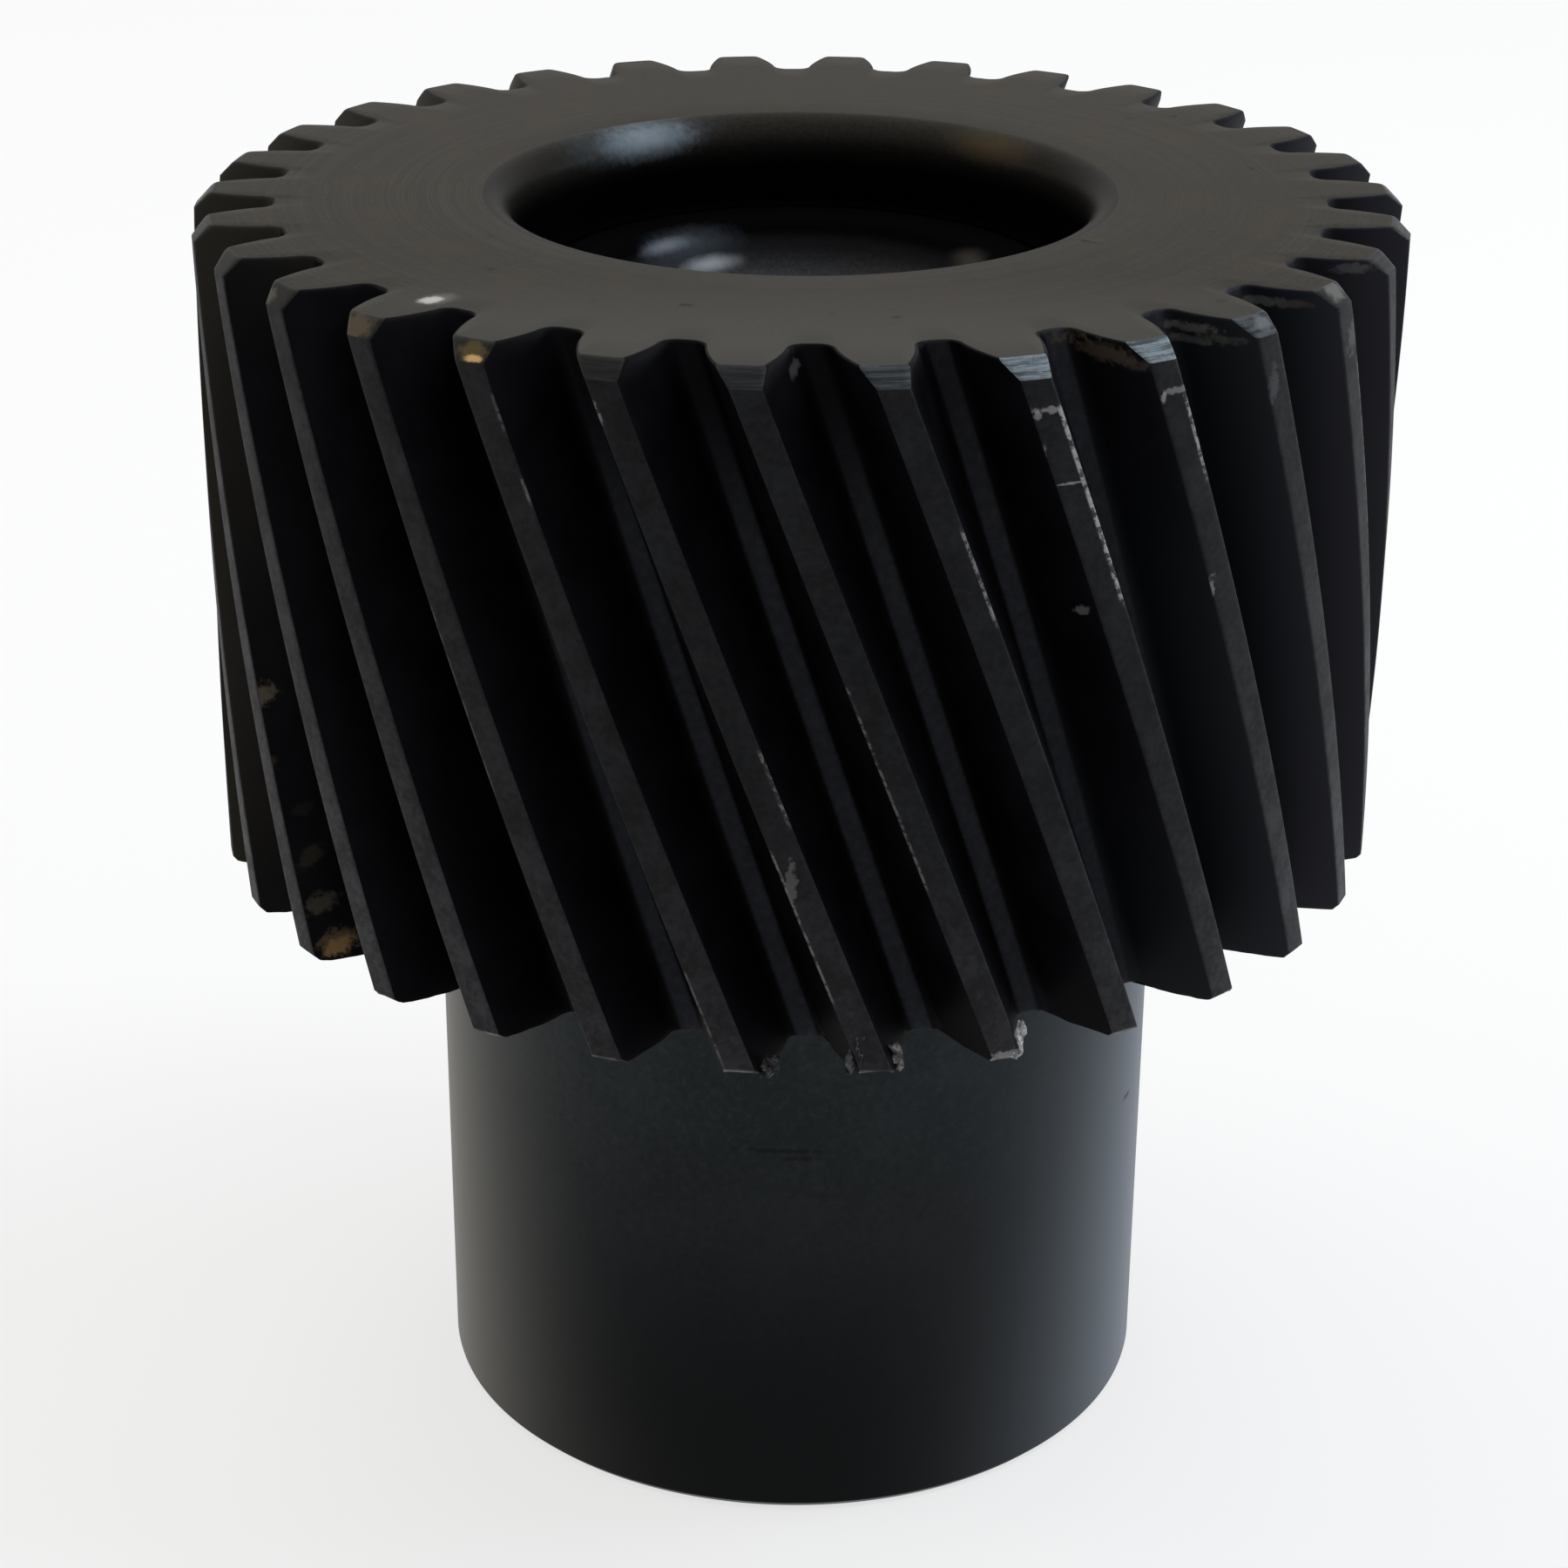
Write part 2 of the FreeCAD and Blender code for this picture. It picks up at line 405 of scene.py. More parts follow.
# On the lip: painted highlights, cool at the back left and warm at the back right, and a dark
# scratch
LIP_HIGHLIGHTS_AND_SCRATCH = [
    (-143.0, 73.3, 16.7, 8.0, 1.7, (0.052, 0.060, 0.068), 1.0),
    (-146.0, 73.2, 16.7, 4.6, 1.4, (0.200, 0.240, 0.275), 1.0),
    (137.0, 73.3, 16.6, 4.8, 1.4, (0.060, 0.044, 0.025), 0.85),
    (55.2, 74.0, 17.0, 0.14, 1.2, SCRATCH, 0.9),
]
# Stains on the chamfers, and painted highlights: an orange glint with its glow on tooth 28 at -28
# degrees, and a grey-bright one on tooth 5
CHAMFER_MARKS_AND_GLINTS = [
    (-28.4, 73.55, 33.4, 0.95, 0.50, (0.085, 0.062, 0.026), 0.85),
    (-28.0, 73.28, 33.5, 0.60, 0.20, (0.52, 0.34, 0.14), 1.0),
    (-41.2, 73.5, 33.3, 1.4, 0.7, (0.080, 0.058, 0.038), 0.8),
    (-54.0, 73.4, 33.4, 0.8, 0.5, (0.090, 0.085, 0.062), 0.7),
    (43.9, 73.6, 33.2, 0.7, 0.4, (0.14, 0.15, 0.16), 0.7),
    (55.6, 73.7, 33.2, 0.9, 0.5, (0.14, 0.14, 0.13), 0.8),
]
LAND_SPOTS = [
    (21.4, 71.5, 33.8, 1.35, 0.22, WORN_AND_GLINT, 0.55),
    (19.9, 71.3, 33.8, 0.28, 0.28, WORN_AND_GLINT, 0.5),
    (20.6, 69.3, 33.8, 0.16, 0.5, WORN_AND_GLINT, 0.4),
    (23.2, 67.6, 33.8, 0.95, 0.08, WORN_AND_GLINT, 0.6),
    (33.4, 71.5, 33.8, 1.1, 0.24, WORN_AND_GLINT, 0.42),
    (31.9, 71.2, 33.8, 0.22, 0.30, WORN_AND_GLINT, 0.6),
    (-0.4, 46.9, 33.8, 0.36, 1.7, WORN_AND_GLINT, 0.24),
    (19.3, 36.3, 33.8, 1.6, 0.36, WORN_AND_GLINT, 0.6),
    (44.9, 70.4, 33.8, 0.45, 1.3, (0.055, 0.056, 0.060), 0.6),
    (57.6, 71.2, 33.8, 0.60, 1.3, (0.080, 0.080, 0.076), 0.6),
    (38.3, 60.5, 33.8, 0.35, 0.7, WORN_AND_GLINT, 0.5),
]
SPACE_SPOTS = [
    (26.2, 73.5, 30.9, 1.0, 0.7, (0.060, 0.046, 0.034), 0.9),
    (28.6, 73.2, 31.3, 1.5, 0.7, (0.050, 0.036, 0.026), 0.8),
    (30.0, 72.9, 31.9, 0.8, 0.5, (0.035, 0.030, 0.025), 0.7),
    (39.3, 73.2, 30.9, 1.1, 0.40, (0.085, 0.082, 0.078), 0.8),
    (40.0, 72.5, 30.6, 0.9, 0.30, (0.070, 0.070, 0.070), 0.7),
    (41.5, 72.8, 31.4, 0.9, 0.4, (0.050, 0.048, 0.044), 0.7),
    (51.9, 73.2, 30.2, 1.0, 0.35, PALE_GREY, 0.8),
    (52.6, 73.2, 31.9, 0.5, 0.3, (0.045, 0.040, 0.036), 0.7),
    (64.6, 73.5, 32.2, 0.6, 0.4, PALE_GREY, 0.7),
    (25.6, 60.4, 33.0, 0.24, 0.4, (0.110, 0.110, 0.110), 0.6),
    (-0.4, 73.1, 30.4, 0.32, 0.48, (0.048, 0.046, 0.046), 0.85),
    (7.5, 73.0, 30.6, 0.35, 0.6, (0.050, 0.024, 0.016), 0.7),
    (-40.6, 73.2, 32.6, 0.5, 0.9, (0.045, 0.030, 0.020), 0.8),
    (-60.2, 49.9, 33.0, 0.50, 0.9, (0.085, 0.072, 0.050), 0.8),
    (-59.6, 48.0, 33.2, 0.32, 0.9, (0.045, 0.022, 0.014), 0.8),
    (-58.2, 46.0, 33.2, 0.35, 1.0, (0.050, 0.034, 0.026), 0.7),
    (-55.5, 44.0, 32.5, 0.35, 0.5, (0.013, 0.011, 0.011), 0.5),
    (-50.8, 36.9, 32.4, 0.65, 0.95, (0.065, 0.045, 0.026), 0.9),
    (-50.6, 36.7, 32.4, 0.42, 0.62, (0.17, 0.100, 0.045), 0.85),
    (-52.5, 39.0, 32.4, 0.5, 0.8, (0.040, 0.036, 0.025), 0.8),
    (-54.0, 41.5, 32.6, 0.35, 0.9, (0.022, 0.019, 0.014), 0.7),
    (150.0, 52.0, 32.4, 0.9, 1.2, RUST, 0.6),
    (96.0, 72.0, 31.4, 0.9, 0.8, EARTH, 0.7),
]
BARREL_SPOTS = [
    (-2.1, 24.4, 21.5, 2.6, 0.20, BLUE_BLACK, 0.7),
    (0.8, 23.9, 21.5, 1.4, 0.18, BLUE_BLACK, 0.6),
    (68.5, 20.5, 21.5, 0.9, 0.22, (0.002, 0.003, 0.004), 0.9),
    (-160.0, 14.0, 21.5, 2.2, 0.20, BLUE_BLACK, 0.6),
]
# Painted highlights and glows on the bore's rounded edge and wall, cool at the left and warm at the
# right
BORE_HIGHLIGHTS = [
    (-143.0, 67.6, 11.1, 5.0, 1.9, (0.065, 0.078, 0.096), 1.0),
    (118.0, 68.1, 11.3, 2.6, 1.00, (0.080, 0.072, 0.061), 0.85),
    (-135.5, 68.3, 11.3, 2.7, 0.55, (0.17, 0.20, 0.23), 1.0),
    (-151.0, 66.8, 11.0, 2.7, 0.80, (0.64, 0.70, 0.76), 1.0),
]


def turned_face_material():
    """The toothed face: warm dark grey, finely turned, with a few specks."""
    s = Shade("turned_face")
    _, y, _ = s.axes()
    along = s.math("MULTIPLY", s.angle(), 0.00006)
    grooves = s.noise(s.combine(s.radius(), along, 0.0), 9000.0, 4.0, 0.7)
    grain = s.noise(s.place, 3600.0, 2.0, 0.6)
    blotch = s.noise(s.place, 130.0, 4.0, 0.6)
    shade = s.total(blotch, 0.25, grain, 0.75)
    color = s.mix(s.ramp(shade, 0.40, 0.60), (0.0185, 0.0160, 0.0112), (0.0400, 0.0355, 0.0272))
    color = s.mix(s.ramp(grooves, 0.35, 0.65, 0.35, 0.0), color, (0.011, 0.0095, 0.007))
    color = s.mix(s.ramp(grooves, 0.50, 0.72, 0.0, 0.30), color, (0.052, 0.048, 0.040))
    tint = s.noise(s.place, 330.0, 2.0, 0.5)
    color = s.mix(s.ramp(tint, 0.50, 0.72, 0.0, 0.3), color, (0.040, 0.025, 0.019))
    specks = s.ramp(s.noise(s.place, 900.0, 1.0, 0.4), 0.76, 0.80, 0.0, 0.7)
    color = s.mix(specks, color, SPECK)
    # Painted light: the front of the face is lighter, as if more light fell there.
    lit_front = s.ramp(y, -0.90 * TIP_RADIUS, -0.45 * TIP_RADIUS, 0.70, 0.0)
    color = s.mix(lit_front, color, (0.056, 0.054, 0.048))
    color = s.spots(color, FACE_SPOTS, flat=True)
    color = s.spots(color, FACE_GLINT, flat=True, raggedness=0.7)
    normal = s.bump(s.total(grooves, 0.6, grain, 0.4), 0.004 * MM, 0.7)
    roughness = s.ramp(shade, 0.3, 0.7, 0.42, 0.54)
    return s.finish(color, roughness, normal, 1.10)


def chamfer_material():
    """The turned chamfer on the tooth tips: bluish, a little glossier, with fine lines across."""
    s = Shade("tooth_chamfer")
    x, _, z = s.axes()
    along = s.math("MULTIPLY", s.angle(), 0.0012)
    lines = s.noise(s.combine(along, 0.0, z), 7000.0, 3.0, 0.75)
    grain = s.noise(s.place, 4200.0, 3.0, 0.6)
    shade = s.total(lines, 0.85, grain, 0.15)
    color = s.mix(s.ramp(shade, 0.40, 0.60), (0.013, 0.0135, 0.0145), (0.026, 0.027, 0.030))
    # Painted shade: the chamfers on the left are darker, as if the light came from the right.
    shaded_left = s.ramp(x, -0.45 * TIP_RADIUS, 0.0, 0.75, 0.0)
    color = s.mix(shaded_left, color, (0.0100, 0.0092, 0.0072))
    number, _ = s.tooth_place()
    # Bare steel where the blacking is worn; on teeth 2 and 3 the bluish bare colour is a painted
    # reflection.
    for tooth, share in WORN_AND_REFLECTING_CHAMFERS:
        bare = s.ramp(shade, 0.40, 0.60, share * 0.2, share)
        color = s.mix(s.math("MULTIPLY", s.is_tooth(number, tooth), bare), color, BARE_CHAMFER_AND_REFLECTION)
    # Stains and painted highlights on the chamfers.
    color = s.spots(color, CHAMFER_MARKS_AND_GLINTS, raggedness=1.2)
    normal = s.bump(shade, 0.005 * MM, 0.8)
    return s.finish(color, 0.38, normal, 1.14)


def lip_material():
    """The rounded lip and the inside of the recess: blackened, with painted shade that makes it the
    darker the deeper it goes, painted light at the back and painted highlights.
    """
    s = Shade("turned_lip")
    _, y, z = s.axes()
    grain = s.noise(s.place, 4200.0, 3.0, 0.6)
    # Painted light: the lip is lighter at the back, where it faces the light, and darker at the
    # sides.
    lit_back = s.ramp(y, -0.2 * RECESS_RADIUS, 0.9 * RECESS_RADIUS)
    color = s.mix(lit_back, (0.0115, 0.0105, 0.0085), (0.023, 0.0215, 0.018))
    color = s.mix(s.ramp(grain, 0.35, 0.65, 0.3, 0.0), color, (0.004, 0.0035, 0.003))
    # Painted shade: the deeper into the recess, the darker.
    deep_shade = s.ramp(z, TOP_Z - 3.0 * MM, TOP_Z - 0.3 * MM, 1.0, 0.0)
    color = s.mix(deep_shade, color, (0.0006, 0.0006, 0.0010))
    # Painted highlights and a scratch on the lip.
    color = s.spots(color, LIP_HIGHLIGHTS_AND_SCRATCH, raggedness=0.5, core=0.0)
    normal = s.bump(grain, 0.002 * MM, 0.5)
    return s.finish(color, 0.36, normal, 1.07)


def land_material():
    """The lands on the tooth tips: dull dark grey, mottled, bright where the edges have rubbed,
    with a painted sheen on the sides and a partly painted glint along the lower edge.
    """
    s = Shade("tooth_land")
    x, _, z = s.axes()
    grain = s.noise(s.place, 2600.0, 4.0, 0.65)
    mottle = s.noise(s.place, 420.0, 4.0, 0.6)
    shade = s.total(mottle, 0.5, grain, 0.5)
    color = s.mix(s.ramp(shade, 0.36, 0.66), (0.0046, 0.0048, 0.0054), (0.0112, 0.0118, 0.0130))
    # Painted sheen: the lands are paler towards the left and right sides, where they are seen edge
    # on, less so near the top; they are also paler near the lower end.
    painted_light = s.math("ADD", s.ramp(x, -0.85 * TIP_RADIUS, -0.15 * TIP_RADIUS, 0.46, 0.0),
                  s.ramp(x, 0.45 * TIP_RADIUS, 0.95 * TIP_RADIUS, 0.0, 0.32))
    painted_light = s.math("MULTIPLY", painted_light, s.ramp(z, RING_BOTTOM_Z, TOP_Z, 1.0, 0.15))
    low_end = RING_BOTTOM_Z + 0.45 * (TOP_Z - RING_BOTTOM_Z)
    painted_light = s.math("ADD", painted_light, s.ramp(z, RING_BOTTOM_Z, low_end, 0.22, 0.0))
    pale = s.mix(s.ramp(shade, 0.40, 0.62), (0.030, 0.029, 0.032), (0.062, 0.061, 0.067))
    color = s.rubbed_edges(s.mix(painted_light, color, pale))
    # A thin bright line along the lower edge: partly wear, partly a painted glint.
    bottom = s.ramp(z, RING_BOTTOM_Z + 0.1 * MM, RING_BOTTOM_Z + 0.42 * MM, 0.55, 0.0)
    color = s.mix(s.math("MULTIPLY", bottom, s.ramp(mottle, 0.42, 0.6)), color, WORN_AND_GLINT)
    color = s.spots(color, LAND_SPOTS)
    normal = s.bump(grain, 0.006 * MM, 0.6)
    return s.finish(color, s.ramp(shade, 0.3, 0.7, 0.62, 0.5), normal, 1.17)


def tooth_space_material():
    """Flanks and roots between the teeth: almost black, with painted light and shade on the flanks,
    and a painted grey-blue reflection at the root.
    """
    s = Shade("tooth_space")
    x, y, z = s.axes()
    grain = s.noise(s.place, 2200.0, 3.0, 0.6)
    mottle = s.noise(s.place, 300.0, 4.0, 0.6)
    flank = s.mix(s.ramp(mottle, 0.35, 0.7), (0.0014, 0.0013, 0.0021), (0.0030, 0.0029, 0.0040))
    # Painted reflection: the root is a lighter grey-blue, where light would reflect off it; near
    # the top, on the left and middle, it is darkened by painted shade.
    root = s.mix(s.ramp(grain, 0.35, 0.7), (0.0165, 0.0175, 0.0215), (0.0245, 0.0255, 0.0310))
    shaded = s.math("MULTIPLY", s.ramp(z, TOP_Z - 12.0 * MM, TOP_Z - 2.0 * MM, 0.0, 0.92),
                    s.ramp(x, 0.05 * TIP_RADIUS, 0.40 * TIP_RADIUS, 1.0, 0.0))
    root = s.mix(shaded, root, (0.0014, 0.0014, 0.0019))
    # Painted light and shade on the flanks: warm at the back left and cool at the right, lighter
    # still at the far right, as lamps would light them, and black as painted shade where they face
    # the front and left.
    right = s.ramp(x, -0.5 * TIP_RADIUS, 0.5 * TIP_RADIUS)
    painted_light = s.mix(right, (0.0185, 0.0170, 0.0140), (0.0088, 0.0100, 0.0122))
    far_right = s.ramp(x, 0.66 * TIP_RADIUS, 0.90 * TIP_RADIUS)
    painted_light = s.mix(far_right, painted_light, (0.0165, 0.0166, 0.0208))
    thick = s.total(x, math.sin(SHADED_FLANK_SIDE), y, -math.cos(SHADED_FLANK_SIDE))
    flank = s.mix(s.ramp(thick, 0.50 * TIP_RADIUS, 0.72 * TIP_RADIUS), painted_light, flank)
    height = s.ramp(s.radius(), ROOT_RADIUS - 0.01 * MM, ROOT_RADIUS + 0.10 * MM)
    color = s.spots(s.mix(height, root, flank), SPACE_SPOTS, raggedness=1.7)
    normal = s.bump(grain, 0.004 * MM, 0.5)
    return s.finish(color, 0.5, normal, 1.1)


def barrel_material():
    """The hub's outside: smooth blue-black, darker towards its end from painted shade, with painted
    light on its right and a painted sheen where it is seen edge on.
    """
    s = Shade("hub_barrel")
    x, _, z = s.axes()
    rings = s.noise(s.combine(0.0, 0.0, z), 6500.0, 3.0, 0.7)
    grain = s.noise(s.place, 2400.0, 4.0, 0.65)
    cloud = s.noise(s.place, 90.0, 5.0, 0.6)
    color = s.mix(s.ramp(cloud, 0.35, 0.65), (0.0160, 0.0205, 0.0225), (0.0245, 0.0300, 0.0325))
    color = s.mix(s.ramp(grain, 0.48, 0.70, 0.0, 0.45), color, (0.040, 0.045, 0.049))
    color = s.mix(s.ramp(grain, 0.30, 0.46, 0.45, 0.0), color, (0.006, 0.008, 0.009))
    # Painted shade: darker towards the lower end.
    low = s.ramp(z, FLOOR_Z + 4.0 * MM, RING_BOTTOM_Z + 4.0 * MM, 0.98, 0.0)
    color = s.mix(low, color, (0.0004, 0.0008, 0.0012))
    # Painted light: lighter and bluer on the right side.
    right = s.ramp(x, 0.1 * HUB_RADIUS, 0.8 * HUB_RADIUS, 0.0, 0.45)
    color = s.mix(right, color, (0.021, 0.024, 0.028))
    sheen = s.mix(s.ramp(x, -HUB_RADIUS, HUB_RADIUS), (0.116, 0.112, 0.100), (0.108, 0.128, 0.150))
    color = s.mix(s.ramp(s.facing(), 0.28, 1.0), color, sheen)
    color = s.spots(color, BARREL_SPOTS)
    normal = s.bump(s.total(rings, 0.6, grain, 0.4), 0.003 * MM, 0.4)
    return s.finish(color, 0.42, normal, 1.16)


def bore_material():
    """The spigot's end and the shaft bore: black above from painted shade, smoothly brighter steel
    further down, with painted highlights.
    """
    s = Shade("bore_steel")
    _, _, z = s.axes()
    grain = s.noise(s.place, 4200.0, 3.0, 0.6)
    steel = s.mix(s.ramp(grain, 0.35, 0.65), (0.17, 0.175, 0.185), (0.24, 0.245, 0.255))
    # Painted shade: black near the top, fading with depth into the bare steel's own colour.
    below = s.math("SUBTRACT", SPIGOT_TOP_Z - 0.3 * MM, z)
    depth = s.math("DIVIDE", below, 3.6 * MM, clamp=True)
    edge = s.ramp(z, SPIGOT_TOP_Z - 1.5 * MM, SPIGOT_TOP_Z - 0.45 * MM)
    upper_shade = s.mix(edge, (0.0095, 0.0095, 0.0110), (0.0006, 0.0006, 0.0009))
    color = s.mix(s.math("POWER", depth, 2.2), upper_shade, steel)
    # Painted highlights on the bore.
    color = s.spots(color, BORE_HIGHLIGHTS, raggedness=0.3, core=0.0)
    normal = s.bump(grain, 0.002 * MM, 0.4)
    roughness = s.ramp(z, SPIGOT_TOP_Z - 2.5 * MM, SPIGOT_TOP_Z - 0.8 * MM, 0.34, 0.85)
    return s.finish(color, roughness, normal, 1.06)


def burr_material(name, dark, light):
    """Torn steel, mottled between two greys."""
    s = Shade(name)
    grain = s.noise(s.place, 3000.0, 4.0, 0.7)
    color = s.mix(s.ramp(grain, 0.40, 0.60), dark, light)
    return s.finish(color, 0.5, s.bump(grain, 0.01 * MM, 0.6), 1.2)


# ---------------------------------------------------------------- mesh helpers

def add_object(name, points, faces, materials):
    """A new mesh object in the scene."""
    mesh = bpy.data.meshes.new(name)
    mesh.from_pydata(points, [], faces)
    for material in materials:
        mesh.materials.append(material)
    obj = bpy.data.objects.new(name, mesh)
    bpy.context.scene.collection.objects.link(obj)
    return obj


def root_fillet_points():
    """The fillet at the foot of a flank, from the root circle up, as x, y."""
    flank_angle = math.acos(min(1.0, BASE_RADIUS / FLANK_START_RADIUS))
    rise = FLANK_START_RADIUS**2 - ROOT_RADIUS**2
    fillet = rise / (2 * (ROOT_RADIUS - FLANK_START_RADIUS * math.sin(flank_angle)))
    start = half_tooth_angle(FLANK_START_RADIUS)
    radial = np.array((math.cos(start), math.sin(start)))
    around = np.array((-math.sin(start), math.cos(start)))
    normal = around * math.cos(flank_angle) + radial * math.sin(flank_angle)
    centre = radial * FLANK_START_RADIUS + normal * fillet
    outward = centre / np.linalg.norm(centre)
    points = []
    for step in range(FILLET_STEPS):
        share = step / FILLET_STEPS
        direction = -outward * (1 - share) - normal * share
        points.append(centre + direction / np.linalg.norm(direction) * fillet)
    return points


def half_outline(cap_radius, tip_edge):
    """Half of one tooth's outline, from the middle of the gap to just before the tip's, as x, y."""
    fillet = root_fillet_points()
    fillet_angle = math.atan2(fillet[0][1], fillet[0][0])
    points = []
    for step in range(ROOT_STEPS):
        angle = TOOTH_PITCH / 2 + (fillet_angle - TOOTH_PITCH / 2) * step / ROOT_STEPS
        points.append((ROOT_RADIUS * math.cos(angle), ROOT_RADIUS * math.sin(angle)))
    points += [tuple(p) for p in fillet]
    flank_end = cap_radius - tip_edge
    for step in range(FLANK_STEPS):
        radius = FLANK_START_RADIUS + (flank_end - FLANK_START_RADIUS) * step / (FLANK_STEPS - 1)
        angle = half_tooth_angle(radius)
        points.append((radius * math.cos(angle), radius * math.sin(angle)))
    corner_angle = half_tooth_angle(cap_radius)
    corner = np.array((math.cos(corner_angle), math.sin(corner_angle))) * cap_radius
    land_angle = corner_angle - tip_edge / cap_radius
    land = np.array((math.cos(land_angle), math.sin(land_angle))) * cap_radius
    flank = np.array(points[-1])
    for step in range(1, CORNER_STEPS):
        share = step / CORNER_STEPS
        point = flank * (1 - share)**2 + corner * 2 * share * (1 - share) + land * share**2
        points.append(tuple(point))
    for step in range(LAND_STEPS):
        angle = land_angle * (1 - step / LAND_STEPS)
        points.append((cap_radius * math.cos(angle), cap_radius * math.sin(angle)))
    return points


def tooth_outline(cap_radius, tip_edge, inset):
    """One tooth's outline about its middle, gap to gap, moved into the metal by inset."""
    half = half_outline(cap_radius, tip_edge)
    points = [(x, -y) for x, y in half]
    points.append((cap_radius, 0.0))
    points += [(x, y) for x, y in reversed(half[1:])]
    outline = np.array(points)
    if inset > 0:
        c, s = math.cos(TOOTH_PITCH), math.sin(TOOTH_PITCH)
        turn = np.array(((c, -s), (s, c)))
        before = outline[-1] @ turn
        after = outline[0] @ turn.T
        wide = np.vstack((before, outline, after))
        along = wide[2:] - wide[:-2]
        along /= np.linalg.norm(along, axis=1)[:, None]
        inward = np.stack((-along[:, 1], along[:, 0]), axis=1)
        outline = outline + inward * inset
    return outline


def ring_loop(z, cap_radius, tip_edge, inset):
    """The whole toothed outline at one height."""
    outline = tooth_outline(cap_radius, tip_edge, inset)
    turn = FRONT + FIRST_TOOTH_TURN + TURN_PER_METRE * (TOP_Z - z)
    teeth = []
    for tooth in range(TOOTH_COUNT):
        angle = turn + tooth * TOOTH_PITCH
        c, s = math.cos(angle), math.sin(angle)
        teeth.append(np.stack((outline[:, 0] * c - outline[:, 1] * s,
                               outline[:, 0] * s + outline[:, 1] * c,
                               np.full(len(outline), z)), axis=1))
    return np.vstack(teeth)


def ragged(loop):
    """The loop with its points moved up and down a little, as a tool leaves a burred rim."""
    angles = np.arctan2(loop[:, 1], loop[:, 0])
    moved = loop.copy()
    moved[:, 2] += RAGGED_DEPTH * sum(share * np.sin(waves * angles + start)
                                      for share, waves, start in RAGGED_WAVES)
    return moved


def circle(radius, z, angles):
    """A level circle with its points at these angles."""
    level = np.full(len(angles), z)
    return np.stack((radius * np.cos(angles), radius * np.sin(angles), level), axis=1)


def between(first, last, steps):
    """Loops part way from one loop to another, without either of them."""
    return [first + (last - first) * step / steps for step in range(1, steps)]


def closed_mesh(name, loops, groups, materials):
    """A closed tube of quads through the loops, the last loop joined to the first.

    A loop's group is the material of the faces that follow it: one number, or a list of them."""
    count = len(loops[0])
    faces = []
    kinds = []
    for row, kind in enumerate(groups):
        here = row * count
        above = (row + 1) % len(loops) * count
        for i in range(count):
            j = (i + 1) % count
            faces.append((here + i, here + j, above + j, above + i))
            kinds.append(kind[i] if isinstance(kind, list) else kind)
    obj = add_object(name, np.vstack(loops).tolist(), faces, materials)
    mesh = obj.data
    mesh.polygons.foreach_set("material_index", kinds)
    mesh.polygons.foreach_set("use_smooth", [True] * len(faces))
    mesh.set_sharp_from_angle(angle=SHARP_ANGLE)
    mesh.update()
    return obj


# ---------------------------------------------------------------- the toothed ring

FACE, SPACE, LAND, LIP, UNDER, CHAMFER = range(6)


def tooth_kinds():
    """The material of each face round the toothed outline, all teeth alike."""
    kinds = []
    radii = np.linalg.norm(tooth_outline(TIP_RADIUS, TIP_EDGE, 0.0), axis=1)
    for i, radius in enumerate(radii):
        middle = (radius + radii[(i + 1) % len(radii)]) / 2
        kinds.append(LAND if middle > TIP_RADIUS - TIP_EDGE * 0.5 else SPACE)
    return kinds * TOOTH_COUNT


def outline_at(z, inset):
    """The toothed outline at this height, smaller within the chamfers of the teeth."""
    over = max(0.0, z - (TOP_Z - UPPER_TOOTH_CHAMFER))
    under = max(0.0, RING_BOTTOM_Z + LOWER_TOOTH_CHAMFER - z)
    near_top = min(1.0, max(0.0, (z - TOP_Z) / (2 * UPPER_TOOTH_CHAMFER) + 1.0))
    tip_edge = TIP_EDGE + (TOP_TIP_EDGE - TIP_EDGE) * near_top**2
    return ring_loop(z, TIP_RADIUS - over - under, tip_edge, inset)


